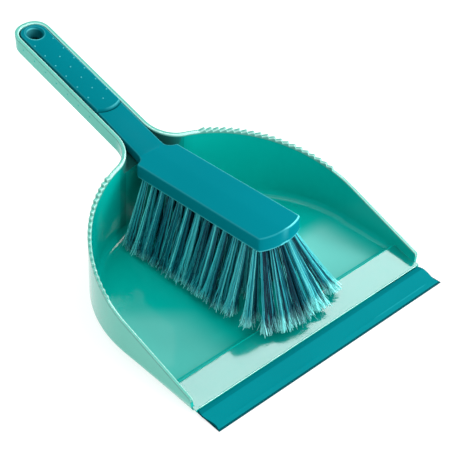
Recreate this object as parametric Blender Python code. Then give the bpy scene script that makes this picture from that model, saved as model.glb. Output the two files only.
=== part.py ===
"""A dust pan with a rubber lip, and a hand brush stored in it with its handle in the pan's channel.

Lengths are in metres and +Z is up. X runs across the pan. Y runs from the front edge of the lip, at
y = 0, to the hanging end of the handles, until the last step centres the set on its origin. Turned,
lofted and cut shapes are made one piece at a time, and each piece is its own object.
"""

from math import atan2, cos, exp, pi, radians, sin, sqrt, tan

import bmesh
import bpy
from mathutils import Matrix, Vector

# Pan: a wide bowl with a flat floor, upright sides and a round back that leans forward a little.
HALF_WIDTH = 0.1147
WALL_DRAFT = 0.03  # sideways lean of the walls for each unit of height
BACK_FLATTENING = 0.0014  # the round back is this much shallower than a half circle
SIDE_FRONT_Y = 0.0265
BACK_CENTRE_Y = 0.0989  # centre of the round back at the floor
BACK_LEAN = 0.11  # how far that centre moves forward for each unit of height
FLOOR_THICKNESS = 0.0022
SIDE_WALL = 0.0024
BACK_WALL = 0.0033
FOOT_ROUND = 0.0090
COVE = 0.0070
FRONT_FOOT_SHARE = 0.35  # how much of the foot's round is left at the front of the side walls
BACK_SEGMENTS = 48

# Rim line, seen from the side: it climbs over the bowl and then follows the handle.
RIM_FRONT_Z = 0.0123
RIM_SLOPE = 0.345
RIM_BEND_Y = 0.2000
HANDLE_SLOPE = tan(radians(15.0))
RIM_END_ROUND = 0.0030

# Comb of saw teeth on the rim, on both sides of the back, for combing dirt out of the bristles.
TEETH_PER_SIDE = 20
TEETH_FROM = radians(11.0)
TEETH_TO = radians(67.5)
TOOTH_HEIGHT = 0.0020

# Pan handle: an open channel with a round end.
CHANNEL_HALF_WIDTH = 0.0157
CHANNEL_WALL = 0.0032
CHANNEL_DEPTH = 0.0126
CHANNEL_FLOOR = 0.0024
CHANNEL_FILLET = 0.0250  # where the channel's sides run out into the bowl
CHANNEL_ROUND = 0.0010
TIP_REACH = 0.0143  # how far the channel runs on past the hanging hole
TIP_BLUNTNESS = 2.3  # 2 would be a round end; more is squarer
HANG_Y = 0.3436
PAN_HANG_RADIUS = 0.0052

# Ramp inside the mouth: it climbs from the lip to a ridge and drops to the floor behind it.
RAMP_FRONT_Y = 0.0228
RAMP_PROFILE = (
    (0.0228, 0.0033),
    (0.0300, 0.0051),
    (0.0380, 0.0069),
    (0.0440, 0.0079),
    (0.0474, 0.0083),
    (0.0488, 0.0077),
    (0.0536, 0.0029),
    (0.0552, 0.0021),
)
RAMP_SKIN = 0.0020
TONGUE_FRONT_Y = 0.0165
TONGUE_LOW_Z = 0.0008
TONGUE_HIGH_Z = 0.0016
FRONT_HALF_WIDTH = 0.1105

# Rubber lip, which grips the pan's tongue.
LIP_HALF_WIDTH = 0.1125
LIP_BACK_Y = 0.0224
LIP_EDGE_THICKNESS = 0.0008
LIP_BACK_THICKNESS = 0.0030
FIT_GAP = 0.0003

# Brush block, tilted so that its nose is the higher end.
BLOCK_HALF_WIDTH = 0.0202
BLOCK_BACK_Y = 0.1938
BLOCK_SIDE_FRONT_Y = 0.0604
BLOCK_NOSE_Y = 0.0550
BLOCK_BACK_Z = 0.0717
BLOCK_TILT = 0.0539
BLOCK_THICKNESS = 0.0120
NECK_FILLET = 0.0082

# Brush handle, which lies in the channel.
BRUSH_HALF_WIDTH = 0.0114
BRUSH_DEPTH = 0.0084
NECK_FRONT_Y = 0.1975
GRIP_STEP_Y = 0.2510
GRIP_CROWN = 0.0031
NECK_CROWN = 0.0016
HANG_RADIUS = 0.0062

# Bristle tufts, set in blind holes.
HOLE_RADIUS = 0.0026
HOLE_DEPTH = 0.0080
TUFT_ROOT_RADIUS = 0.0022
TUFT_SIDE_ROW = 13
TUFT_INNER_ROW = 11
TUFT_NOSE_ROW = 5
TUFT_BACK_Y = 0.1880
TUFT_PITCH = 0.0100
SIDE_ROW_X = 0.0155
INNER_ROW_X = 0.0052
SIDE_SPLAY = 0.0200
NOSE_SPLAY = 0.0272
NOSE_REACH = 0.0090
TUFT_DROP = 0.0564  # all tufts are trimmed to this depth under the block
TUFT_SIDES = 8

COLOURS = {
    "pan_plastic": ((0.18, 0.62, 0.50), 0.28),
    "lip_rubber": ((0.0, 0.22, 0.25), 0.55),
    "brush_plastic": ((0.0, 0.20, 0.24), 0.38),
    "bristles": ((0.0, 0.13, 0.17), 0.60),
}


def clear_scene():
    for thing in list(bpy.data.objects):
        bpy.data.objects.remove(thing, do_unlink=True)


def new_collection(name):
    collection = bpy.data.collections.new(name)
    bpy.context.scene.collection.children.link(collection)
    return collection


def material(name):
    colour, roughness = COLOURS[name]
    found = bpy.data.materials.get(name) or bpy.data.materials.new(name)
    found.use_nodes = True
    shader = found.node_tree.nodes["Principled BSDF"]
    shader.inputs["Base Color"].default_value = (*colour, 1.0)
    shader.inputs["Roughness"].default_value = roughness
    shader.inputs["Metallic"].default_value = 0.0
    return found


def finished_object(name, bm, collection):
    """Close a bmesh into a mesh object whose faces point out."""
    bmesh.ops.remove_doubles(bm, verts=bm.verts, dist=1e-6)
    bmesh.ops.recalc_face_normals(bm, faces=bm.faces)
    mesh = bpy.data.meshes.new(name)
    bm.to_mesh(mesh)
    bm.free()
    made = bpy.data.objects.new(name, mesh)
    collection.objects.link(made)
    return made


def loft(name, rings, collection):
    """A closed skin through rings that have the same number of points, with both ends capped."""
    bm = bmesh.new()
    loops = [[bm.verts.new(point) for point in ring] for ring in rings]
    count = len(loops[0])
    for low, high in zip(loops, loops[1:]):
        for i in range(count):
            j = (i + 1) % count
            bm.faces.new((low[i], low[j], high[j], high[i]))
    bm.faces.new(loops[0][::-1])
    bm.faces.new(loops[-1])
    return finished_object(name, bm, collection)


def prism_across(name, profile, half_width, collection):
    """A side profile of (y, z) points, swept across the set from -half_width to half_width."""
    curve = bpy.data.curves.new(name, "CURVE")
    curve.dimensions = "2D"
    curve.fill_mode = "BOTH"
    curve.extrude = half_width
    spline = curve.splines.new("POLY")
    spline.points.add(len(profile) - 1)
    for point, (y, z) in zip(spline.points, profile):
        point.co = (y, z, 0.0, 1.0)
    spline.use_cyclic_u = True
    sketch = bpy.data.objects.new(name + "_sketch", curve)
    collection.objects.link(sketch)
    bpy.context.view_layer.update()
    evaluated = sketch.evaluated_get(bpy.context.evaluated_depsgraph_get())
    mesh = bpy.data.meshes.new_from_object(evaluated)
    bpy.data.objects.remove(sketch)
    bm = bmesh.new()
    bm.from_mesh(mesh)
    stand_up = Matrix(((0, 0, 1, 0), (1, 0, 0, 0), (0, 1, 0, 0), (0, 0, 0, 1)))
    bmesh.ops.transform(bm, matrix=stand_up, verts=bm.verts)
    bmesh.ops.remove_doubles(bm, verts=bm.verts, dist=1e-5)
    return finished_object(name, bm, collection)


def upright_cylinder(name, x, y, z_low, z_high, radius_low, radius_high, sides, collection):
    bm = bmesh.new()
    bmesh.ops.create_cone(
        bm,
        cap_ends=True,
        segments=sides,
        radius1=radius_low,
        radius2=radius_high,
        depth=z_high - z_low,
        matrix=Matrix.Translation((x, y, (z_low + z_high) / 2)),
    )
    return finished_object(name, bm, collection)


def level_circle(y, z, radius):
    turns = [2 * pi * i / 32 for i in range(32)]
    return [(radius * cos(turn), y + radius * sin(turn), z) for turn in turns]


def apply_boolean(target, tool, operation):
    modifier = target.modifiers.new("cut", "BOOLEAN")
    modifier.operation = operation
    modifier.solver = "EXACT"
    modifier.object = tool
    bpy.context.view_layer.update()
    evaluated = target.evaluated_get(bpy.context.evaluated_depsgraph_get())
    mesh = bpy.data.meshes.new_from_object(evaluated)
    target.modifiers.clear()
    target.data = mesh
    mesh.name = target.name


def join_shapes(shapes, name, collection):
    """One object that holds several separate cutters."""
    bm = bmesh.new()
    for shape in shapes:
        bm.from_mesh(shape.data)
        bpy.data.objects.remove(shape)
    return finished_object(name, bm, collection)


def hide_cutter(cutter):
    cutter.hide_render = True
    cutter.display_type = "WIRE"


def arc(centre_x, centre_y, radius, start, end, steps):
    return [
        (
            centre_x + radius * cos(start + (end - start) * i / steps),
            centre_y + radius * sin(start + (end - start) * i / steps),
        )
        for i in range(steps + 1)
    ]


def inset_outline(points, distance):
    """Move each point of a counter-clockwise outline inwards, square to its neighbours."""
    moved = []
    count = len(points)
    for i, (x, y) in enumerate(points):
        before = Vector(points[i - 1])
        after = Vector(points[(i + 1) % count])
        here = Vector((x, y))
        first = (here - before).normalized()
        second = (after - here).normalized()
        normal = Vector((-first.y - second.y, first.x + second.x)).normalized()
        share = max(0.5, normal.dot(Vector((-first.y, first.x))))
        moved.append((x + normal.x * distance / share, y + normal.y * distance / share))
    return moved


def handle_line_z(y):
    """Height of the plane through the channel's rim."""
    return rim_bend_z() + HANDLE_SLOPE * (y - RIM_BEND_Y)


def rim_bend_z():
    return RIM_FRONT_Z + RIM_SLOPE * (RIM_BEND_Y - SIDE_FRONT_Y)


def rim_z(y):
    """Height of the rim line over the bowl and along the handle."""
    if y < RIM_BEND_Y:
        return RIM_FRONT_Z + RIM_SLOPE * (y - SIDE_FRONT_Y)
    return handle_line_z(y)


def back_point(turn, z, side_inset, back_inset):
    """A point of the round back's plan at height z; turn goes from the right side to the left."""
    half_width = HALF_WIDTH + WALL_DRAFT * z
    depth = half_width - BACK_FLATTENING
    x = (half_width - side_inset) * cos(turn)
    y = BACK_CENTRE_Y - BACK_LEAN * z + (depth - back_inset) * sin(turn)
    return x, y


def bowl_ring(z, side_inset, back_inset, foot_inset, front_y):
    """The bowl's plan at height z, counter-clockwise; the foot's inset fades towards the front."""
    back = [
        back_point(pi * i / BACK_SEGMENTS, z, side_inset + foot_inset, back_inset + foot_inset)
        for i in range(BACK_SEGMENTS + 1)
    ]
    side_x, side_y = back[0]
    run = (front_y - SIDE_FRONT_Y) / (side_y - SIDE_FRONT_Y)
    share = FRONT_FOOT_SHARE + (1 - FRONT_FOOT_SHARE) * run
    front_x = side_x + foot_inset * (1 - share)
    ring = [(-front_x, front_y), (front_x, front_y), *back]
    return [(x, y, z) for x, y in ring]


def bowl_solid(name, side_inset, back_inset, bottom_z, rounding, top_z, front_y, collection):
    """The bowl's plan lofted upwards, with a rounded foot."""
    steps = 5
    rings = []
    for i in range(steps + 1):
        turn = pi / 2 * i / steps
        z = bottom_z + rounding * (1 - cos(turn))
        foot_inset = rounding * (1 - sin(turn))
        rings.append(bowl_ring(z, side_inset, back_inset, foot_inset, front_y))
    rings.append(bowl_ring(top_z, side_inset, back_inset, 0.0, front_y))
    return loft(name, rings, collection)


def back_circle():
    """Radius and centre of the circle that fits the round back where the channel joins it."""
    z = rim_z(RIM_BEND_Y + 0.008)
    half_width = HALF_WIDTH + WALL_DRAFT * z
    depth = half_width - BACK_FLATTENING
    radius = half_width * half_width / depth
    return radius, BACK_CENTRE_Y - BACK_LEAN * z + depth - radius


def blunt_tip(half_width, turn):
    """A point of a handle's blunt end, from the right side at turn 0 to the left one at pi."""
    power = 2 / TIP_BLUNTNESS
    reach = TIP_REACH - (CHANNEL_HALF_WIDTH - half_width)
    side = 1 if cos(turn) >= 0 else -1
    x = side * half_width * abs(cos(turn)) ** power
    return x, HANG_Y + reach * abs(sin(turn)) ** power


def handle_outline(wall):
    """Plan of the channel, set in by a wall, with its sides flaring out into the bowl."""
    half = CHANNEL_HALF_WIDTH - wall
    fillet = CHANNEL_FILLET + wall
    bowl_radius, bowl_y = back_circle()
    reach = bowl_radius + CHANNEL_FILLET
    centre_x = CHANNEL_HALF_WIDTH + CHANNEL_FILLET
    centre_y = bowl_y + sqrt(reach * reach - centre_x * centre_x)
    meet = atan2(bowl_y - centre_y, -centre_x)
    right = arc(centre_x, centre_y, fillet, meet, -pi, 10)
    tip = [blunt_tip(half, pi * i / 32) for i in range(33)]
    left = [(-x, y) for x, y in reversed(right)]
    inner_y = BACK_CENTRE_Y + 0.065
    start_x = right[0][0]
    return [(-start_x, inner_y), (start_x, inner_y), *right, *tip, *left]


def channel_solid(name, wall, floor_drop, rounding, top_rise, collection):
    """The channel's plan lofted upwards from a floor that slopes with the handle."""
    steps = 4
    rings = []
    outline = handle_outline(wall)
    for i in range(steps + 1):
        turn = pi / 2 * i / steps
        rise = rounding * (1 - cos(turn)) - floor_drop
        ring = inset_outline(outline, rounding * (1 - sin(turn)))
        rings.append([(x, y, handle_line_z(y) + rise) for x, y in ring])
    rings.append([(x, y, handle_line_z(y) + top_rise) for x, y in outline])
    return loft(name, rings, collection)


def rim_cutter(collection):
    """Everything above the rim line, with the comb's raised stretch left standing."""
    start_z = RIM_FRONT_Z - RIM_END_ROUND
    corner = [
        (
            SIDE_FRONT_Y - 0.0002 + RIM_END_ROUND * (1 - cos(pi / 2 * i / 4)),
            start_z + RIM_END_ROUND * sin(pi / 2 * i / 4) * 1.25,
        )
        for i in range(5)
    ]
    comb_front = rim_point(TEETH_FROM)[1]
    comb_back = rim_point(TEETH_TO)[1]
    line = [
        (comb_front, rim_z(comb_front)),
        (comb_front, rim_z(comb_front) + TOOTH_HEIGHT),
        (comb_back, rim_z(comb_back) + TOOTH_HEIGHT),
        (comb_back, rim_z(comb_back)),
        (RIM_BEND_Y, rim_z(RIM_BEND_Y)),
        (0.400, rim_z(0.400)),
    ]
    above = [(0.400, 0.200), (-0.010, 0.200), (-0.010, start_z)]
    return prism_across("rim_cutter", corner + line + above, 0.130, collection)


def rim_point(turn):
    """Where the outer wall meets the rim line, found by walking up the leaning wall."""
    z = RIM_FRONT_Z
    for _ in range(20):
        x, y = back_point(turn, z, 0.0, 0.0)
        z = rim_z(y)
    return x, y, z


def tooth_gaps(collection):
    """One leaning wedge between each saw tooth and the next, square to the wall."""
    gaps = []
    step = (TEETH_TO - TEETH_FROM) / TEETH_PER_SIDE
    above = 0.006
    for side in (1, -1):
        for i in range(TEETH_PER_SIDE):
            near = TEETH_FROM + step * (i + 0.22)
            far = TEETH_FROM + step * (i + 1)
            near_z = rim_point(near)[2]
            valley_z = rim_point(far)[2]
            corners = (
                (near, near_z, TOOTH_HEIGHT),
                (far, valley_z, 0.0),
                (far, valley_z, above),
                (near, near_z, above),
            )
            rings = []
            for inset in (0.010, -0.010):
                ring = []
                for turn, z, rise in corners:
                    x, y = back_point(turn, z, inset, inset)
                    ring.append((side * x, y, z + rise))
                rings.append(ring)
            gaps.append(loft("gap", rings, collection))
    return join_shapes(gaps, "tooth_gaps", collection)


def ramp_profiles():
    """The ramp's solid side profile, and the hollow under its skin."""
    top = list(RAMP_PROFILE)
    solid = [*top, (0.0550, 0.0005), (RAMP_FRONT_Y, 0.0005)]
    roof = [(y, z - RAMP_SKIN) for y, z in top if z - RAMP_SKIN > 0.0022]
    first_y = roof[0][0]
    last_y = roof[-1][0] - 0.0012
    hollow = [(first_y, -0.001), *roof[:-1], (last_y, roof[-1][1]), (last_y, -0.001)]
    return solid, hollow


def tongue_and_front():
    """Side profile of the pan's front edge, with the thin tongue that the rubber grips."""
    return [
        (TONGUE_FRONT_Y, TONGUE_LOW_Z),
        (RAMP_FRONT_Y, TONGUE_LOW_Z),
        (RAMP_FRONT_Y, 0.0),
        (0.0320, 0.0),
        (0.0320, 0.0030),
        (RAMP_FRONT_Y, 0.0030),
        (RAMP_FRONT_Y, TONGUE_HIGH_Z),
        (TONGUE_FRONT_Y, TONGUE_HIGH_Z),
    ]


def make_pan(parts, tools):
    pan = bowl_solid("dustpan_body", 0.0, 0.0, 0.0, FOOT_ROUND, 0.100, SIDE_FRONT_Y, parts)
    channel = channel_solid(
        "channel_outside", 0.0, CHANNEL_DEPTH, CHANNEL_ROUND, 0.020, tools
    )
    apply_boolean(pan, channel, "UNION")
    trim = rim_cutter(tools)
    apply_boolean(pan, trim, "DIFFERENCE")
    hollow = bowl_solid(
        "bowl_inside", SIDE_WALL, BACK_WALL, FLOOR_THICKNESS, COVE, 0.120, 0.0, tools
    )
    apply_boolean(pan, hollow, "DIFFERENCE")
    trough = channel_solid(
        "channel_inside",
        CHANNEL_WALL,
        CHANNEL_DEPTH - CHANNEL_FLOOR,
        CHANNEL_ROUND - 0.0005,
        0.040,
        tools,
    )
    apply_boolean(pan, trough, "DIFFERENCE")
    gaps = tooth_gaps(tools)
    apply_boolean(pan, gaps, "DIFFERENCE")
    solid, under = ramp_profiles()
    inside_walls = bowl_solid(
        "inside_walls", 0.0007, 0.0007, 0.00001, FOOT_ROUND, 0.060, RAMP_FRONT_Y - 0.001, tools
    )
    ramp = prism_across("ramp", solid, HALF_WIDTH + 0.005, tools)
    apply_boolean(ramp, inside_walls, "INTERSECT")
    apply_boolean(pan, ramp, "UNION")
    front = prism_across("front_edge", tongue_and_front(), FRONT_HALF_WIDTH, tools)
    apply_boolean(pan, front, "UNION")
    under_ramp = prism_across("under_ramp", under, HALF_WIDTH - 0.0120, tools)
    apply_boolean(pan, under_ramp, "DIFFERENCE")
    hang = upright_cylinder(
        "pan_hang_hole", 0.0, HANG_Y, 0.05, 0.150, PAN_HANG_RADIUS, PAN_HANG_RADIUS, 24, tools
    )
    apply_boolean(pan, hang, "DIFFERENCE")
    return pan


def make_lip(parts):
    slot_y = TONGUE_FRONT_Y - FIT_GAP
    profile = [
        (0.0, 0.0),
        (LIP_BACK_Y, 0.0),
        (LIP_BACK_Y, TONGUE_LOW_Z - FIT_GAP),
        (slot_y, TONGUE_LOW_Z - FIT_GAP),
        (slot_y, TONGUE_HIGH_Z + FIT_GAP),
        (LIP_BACK_Y, TONGUE_HIGH_Z + FIT_GAP),
        (LIP_BACK_Y, LIP_BACK_THICKNESS),
        (0.0, LIP_EDGE_THICKNESS),
    ]
    return prism_across("rubber_lip", profile, LIP_HALF_WIDTH, parts)


def block_top_z(y):
    return BLOCK_BACK_Z + BLOCK_TILT * (BLOCK_BACK_Y - y)


def block_outline():
    """Plan of the block, counter-clockwise: bowed nose, straight sides, flared neck."""
    sag = BLOCK_SIDE_FRONT_Y - BLOCK_NOSE_Y
    radius = (BLOCK_HALF_WIDTH**2 + sag**2) / (2 * sag)
    half_turn = atan2(BLOCK_HALF_WIDTH, radius - sag)
    nose = arc(
        0.0, BLOCK_NOSE_Y + radius, radius, -pi / 2 - half_turn, -pi / 2 + half_turn, 12
    )
    right = arc(
        BLOCK_HALF_WIDTH,
        BLOCK_BACK_Y + NECK_FILLET,
        NECK_FILLET,
        -pi / 2,
        -pi,
        6,
    )
    left = [(-x, y) for x, y in reversed(right)]
    return [*nose, *right, *left]


def make_block(parts):
    """Rings of the block's plan, with a small round under it and a wider bevel on top."""
    outline = block_outline()
    levels = (
        (-BLOCK_THICKNESS, 0.0008),
        (-BLOCK_THICKNESS + 0.0008, 0.0),
        (-0.0016, 0.0),
        (-0.0005, 0.0005),
        (0.0, 0.0016),
    )
    rings = [
        [(x, y, block_top_z(y) + level) for x, y in inset_outline(outline, inset)]
        for level, inset in levels
    ]
    return loft("brush_body", rings, parts)


def handle_crown(y):
    """Height of the handle's middle line over the channel's rim plane."""
    if y < GRIP_STEP_Y:
        return NECK_CROWN
    return GRIP_CROWN * max(0.0, (HANG_Y + 0.004 - y) / (HANG_Y + 0.004 - GRIP_STEP_Y)) ** 0.8


def handle_section(y, half_width):
    """One cross section: flat underneath, upright sides and a crowned top."""
    base = handle_line_z(y)
    crown = handle_crown(y)
    edge = crown - 0.0014
    top_steps = 8
    section = [
        (-half_width + 0.0010, y, base - BRUSH_DEPTH),
        (half_width - 0.0010, y, base - BRUSH_DEPTH),
        (half_width, y, base - BRUSH_DEPTH + 0.0010),
        (half_width, y, base + edge - 0.0010),
    ]
    for i in range(top_steps + 1):
        across = cos(pi * i / top_steps)
        rise = edge + (crown - edge) * (1 - across * across)
        section.append((across * (half_width - 0.0008), y, base + rise))
    section.append((-half_width, y, base + edge - 0.0010))
    section.append((-half_width, y, base - BRUSH_DEPTH + 0.0010))
    return section


def make_brush_handle(tools):
    straight = (
        NECK_FRONT_Y,
        0.215,
        0.235,
        GRIP_STEP_Y - 0.0012,
        GRIP_STEP_Y,
        0.270,
        0.290,
        0.310,
        0.328,
        HANG_Y,
    )
    sections = [handle_section(y, BRUSH_HALF_WIDTH) for y in straight]
    steps = 9
    for i in range(1, steps + 1):
        x, y = blunt_tip(BRUSH_HALF_WIDTH, (pi / 2 - 0.10) * i / steps)
        sections.append(handle_section(y, x))
    return loft("brush_handle", sections, tools)


def tuft_roots():
    """Where each tuft leaves the block, as (name, x, y)."""
    roots = []
    for row, x in (("left", -SIDE_ROW_X), ("right", SIDE_ROW_X)):
        for i in range(TUFT_SIDE_ROW):
            roots.append((f"tuft_{row}_{i + 1:02d}", x, TUFT_BACK_Y - TUFT_PITCH * i))
    for row, x in (("inner_left", -INNER_ROW_X), ("inner_right", INNER_ROW_X)):
        for i in range(TUFT_INNER_ROW):
            y = TUFT_BACK_Y - TUFT_PITCH * (i + 0.5)
            roots.append((f"tuft_{row}_{i + 1:02d}", x, y))
    for i in range(TUFT_NOSE_ROW):
        x = 0.007 * (i - 2)
        y = 0.0605 + 0.002 * (x / 0.014) ** 2
        roots.append((f"tuft_nose_{i + 1:02d}", x, y))
    return roots


def tuft_tip(x, y):
    """Where a tuft's tip hangs: splayed to its side, and forward near the nose."""
    forward = exp(-max(0.0, y - 0.0605) / NOSE_REACH)
    across = x / SIDE_ROW_X
    spread = SIDE_SPLAY * across
    if forward > 0.15:
        spread *= 1.0 + 0.30 * across * forward
    tip_z = block_top_z(y) - BLOCK_THICKNESS - TUFT_DROP
    return x + spread, y - NOSE_SPLAY * forward, tip_z


def make_tuft(name, x, y, parts):
    """A flared bundle: round in its hole, splaying more the further it hangs."""
    underside = block_top_z(y) - BLOCK_THICKNESS
    tip_x, tip_y, tip_z = tuft_tip(x, y)
    root = Vector((x, y, underside + HOLE_DEPTH - 2 * FIT_GAP))
    mouth = Vector((x, y, underside))
    tip = Vector((tip_x, tip_y, tip_z))
    rings = []
    stations = ((0.0, 1.0, 1.0), (0.3, 1.25, 1.2), (0.65, 1.9, 1.55), (1.0, 2.7, 1.95))
    places = [(root, 1.0, 1.0)]
    for share, wide, long in stations:
        bend = share**1.35
        centre = Vector(
            (
                mouth.x + (tip.x - mouth.x) * bend,
                mouth.y + (tip.y - mouth.y) * bend,
                mouth.z + (tip.z - mouth.z) * share,
            )
        )
        places.append((centre, wide, long))
    for centre, wide, long in places:
        rings.append(
            [
                (
                    centre.x + TUFT_ROOT_RADIUS * wide * cos(2 * pi * k / TUFT_SIDES),
                    centre.y + TUFT_ROOT_RADIUS * long * sin(2 * pi * k / TUFT_SIDES),
                    centre.z,
                )
                for k in range(TUFT_SIDES)
            ]
        )
    return loft(name, rings, parts)


def make_brush(parts, tools):
    body = make_block(parts)
    handle = make_brush_handle(tools)
    apply_boolean(body, handle, "UNION")
    holes = []
    for name, x, y in tuft_roots():
        underside = block_top_z(y) - BLOCK_THICKNESS
        holes.append(
            upright_cylinder(
                name + "_hole",
                x,
                y,
                underside - 0.004,
                underside + HOLE_DEPTH,
                HOLE_RADIUS,
                HOLE_RADIUS,
                TUFT_SIDES,
                tools,
            )
        )
    drilled = join_shapes(holes, "tuft_holes", tools)
    apply_boolean(body, drilled, "DIFFERENCE")
    top_z = handle_line_z(HANG_Y)
    bore_rings = (
        (HANG_RADIUS, top_z - 0.0300),
        (HANG_RADIUS, top_z - 0.0020),
        (HANG_RADIUS + 0.0100, top_z + 0.0080),
    )
    bore = loft("hang_bore", [level_circle(HANG_Y, z, radius) for radius, z in bore_rings], tools)
    apply_boolean(body, bore, "DIFFERENCE")
    tufts = [make_tuft(name, x, y, parts) for name, x, y in tuft_roots()]
    return body, tufts


def set_material(thing, name):
    thing.data.materials.clear()
    thing.data.materials.append(material(name))
    thing.data.shade_smooth()
    thing.data.set_sharp_from_angle(angle=radians(32))


def main():
    clear_scene()
    parts = new_collection("dust_pan_and_brush_set")
    tools = new_collection("cutters")
    pan = make_pan(parts, tools)
    lip = make_lip(parts)
    body, tufts = make_brush(parts, tools)
    set_material(pan, "pan_plastic")
    set_material(lip, "lip_rubber")
    set_material(body, "brush_plastic")
    for tuft in tufts:
        set_material(tuft, "bristles")
    for tool in tools.objects:
        hide_cutter(tool)

    pieces = [pan, lip, body, *tufts]
    ends = [vertex.co.y for piece in pieces for vertex in piece.data.vertices]
    pan_group = bpy.data.objects.new("pan_group", None)
    brush_group = bpy.data.objects.new("brush_group", None)
    for group in (pan_group, brush_group):
        parts.objects.link(group)
        group.location.y = -(min(ends) + max(ends)) / 2
    for piece in (pan, lip):
        piece.parent = pan_group
    for piece in (body, *tufts):
        piece.parent = brush_group


main()
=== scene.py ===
"""The looks of a dust pan with a rubber lip, and of the hand brush stored in its channel handle.

Shapes are worked out in metres with y = 0 at the front edge of the lip, as the part is dimensioned,
and moved onto the frame once they are made. +Z is up, X runs across the pan.

Some shade and glare is painted into the pan's material for the pose where the brush is stored. It
stays where it is when the brush is lifted: see mark_pan and floor_glare.
"""

import random
from math import atan2, cos, exp, pi, radians, sin, sqrt, tan

import bmesh
import bpy
import numpy as np
from mathutils import Matrix, Vector


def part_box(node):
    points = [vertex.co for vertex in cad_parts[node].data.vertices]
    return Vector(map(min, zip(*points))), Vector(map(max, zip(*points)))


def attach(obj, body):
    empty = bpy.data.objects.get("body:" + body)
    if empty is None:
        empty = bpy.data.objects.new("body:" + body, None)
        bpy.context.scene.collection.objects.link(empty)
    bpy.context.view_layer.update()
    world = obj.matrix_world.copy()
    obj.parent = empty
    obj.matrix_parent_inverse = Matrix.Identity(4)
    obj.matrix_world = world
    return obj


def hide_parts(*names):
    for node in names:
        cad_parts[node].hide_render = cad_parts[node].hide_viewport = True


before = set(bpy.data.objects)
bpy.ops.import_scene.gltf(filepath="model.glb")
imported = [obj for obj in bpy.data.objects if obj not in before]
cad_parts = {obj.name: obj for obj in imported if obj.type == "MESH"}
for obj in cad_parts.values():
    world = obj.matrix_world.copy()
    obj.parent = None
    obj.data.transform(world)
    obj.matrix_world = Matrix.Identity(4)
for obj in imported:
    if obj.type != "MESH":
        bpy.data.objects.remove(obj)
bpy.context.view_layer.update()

LIP_EDGE_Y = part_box("rubber_lip")[0][1]

# Pan bowl.
HALF_WIDTH = 0.1147
WALL_DRAFT = 0.03
BACK_FLATTENING = 0.0014
SIDE_FRONT_Y = 0.0265
BACK_CENTRE_Y = 0.0989
BACK_LEAN = 0.11
FLOOR_THICKNESS = 0.0022
SIDE_WALL = 0.0024
BACK_WALL = 0.0033
FOOT_ROUND = 0.0090
COVE = 0.0070
FRONT_FOOT_SHARE = 0.35
BACK_SEGMENTS = 144

# Rim line and comb.
RIM_FRONT_Z = 0.0123
RIM_SLOPE = 0.345
RIM_BEND_Y = 0.2000
RIM_BEND_REACH = 0.0080
HANDLE_SLOPE = tan(radians(15.0))
RIM_CAP = 0.0016
TEETH_PER_SIDE = 20
TEETH_FROM = radians(11.0)
TEETH_TO = radians(67.5)
TOOTH_HEIGHT = 0.0020

# Channel handle.
CHANNEL_HALF_WIDTH = 0.0157
CHANNEL_WALL = 0.0032
CHANNEL_DEPTH = 0.0126
CHANNEL_FLOOR = 0.0024
CHANNEL_FILLET = 0.0250
CHANNEL_ROUND = 0.0010
TIP_REACH = 0.0143
TIP_BLUNTNESS = 2.3
HANG_Y = 0.3436
PAN_HANG_RADIUS = 0.0052
HANDLE_COS = cos(radians(15.0))

# Ramp and front edge.
RAMP_FRONT_Y = 0.0228
RAMP_FRONT_Z = 0.0033
RAMP_RIDGE_Y = 0.0474
RAMP_RISE = 0.0050
RAMP_BACK = (
    (0.0480, 0.00822),
    (0.0486, 0.00790),
    (0.0493, 0.00720),
    (0.0536, 0.00290),
    (0.0542, 0.00242),
    (0.0552, 0.00210),
)
RAMP_SKIN = 0.0020
RAMP_BOTTOM_Z = 0.0005
TONGUE_FRONT_Y = 0.0165
TONGUE_LOW_Z = 0.0008
TONGUE_HIGH_Z = 0.0016
FRONT_HALF_WIDTH = 0.1105

# Lip.
LIP_HALF_WIDTH = 0.1125
LIP_BACK_Y = 0.0224
LIP_BACK_Z = 0.0030
LIP_EDGE_Z = 0.0008
LIP_SLOPE = (LIP_BACK_Z - 0.0003 - LIP_EDGE_Z) / 0.0165

# Brush block.
BLOCK_HALF_WIDTH = 0.0202
BLOCK_BACK_Y = 0.1938
BLOCK_SIDE_FRONT_Y = 0.0604
BLOCK_NOSE_Y = 0.0550
BLOCK_BACK_Z = 0.0717
BLOCK_TILT = 0.0539
BLOCK_THICKNESS = 0.0120
NECK_FILLET = 0.0082

# Brush handle.
BRUSH_HALF_WIDTH = 0.0114
BRUSH_DEPTH = 0.0084
BLOCK_EDGE_ROUND = 0.0013
HANDLE_EDGE_ROUND = 0.0009
BOTTOM_EDGE_ROUND = 0.0008
CREASE_Y = 0.1990
HANG_RADIUS = 0.0062
HANG_RING = 0.0078

# Tufts.
TUFT_ROOT_RADIUS = 0.0021
TUFT_SIDE_ROW = 13
TUFT_INNER_ROW = 11
TUFT_NOSE_ROW = 5
TUFT_BACK_Y = 0.1880
TUFT_PITCH = 0.0100
SIDE_ROW_X = 0.0155
INNER_ROW_X = 0.0052
SIDE_SPLAY = 0.0200
NOSE_SPLAY = 0.0272
NOSE_REACH = 0.0090
TUFT_DROP = 0.0566
FILAMENTS = 156
NOSE_EXTRA_FILAMENTS = 130
STRANDS = 26
NOSE_EXTRA_STRANDS = 16
FILAMENT_RADIUS = 0.00023
FILAMENT_STATIONS = 9
TIP_FLARE = 0.0044
NOSE_EXTRA_FLARE = 0.0030
FRAY = 0.0016

# Painted shading: how much darker each part is, as a share.
RAMP_DIM = 0.50
THROAT_DIM = 0.26
CHANNEL_DIM = 0.80
RIM_DIM = 0.24

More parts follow.
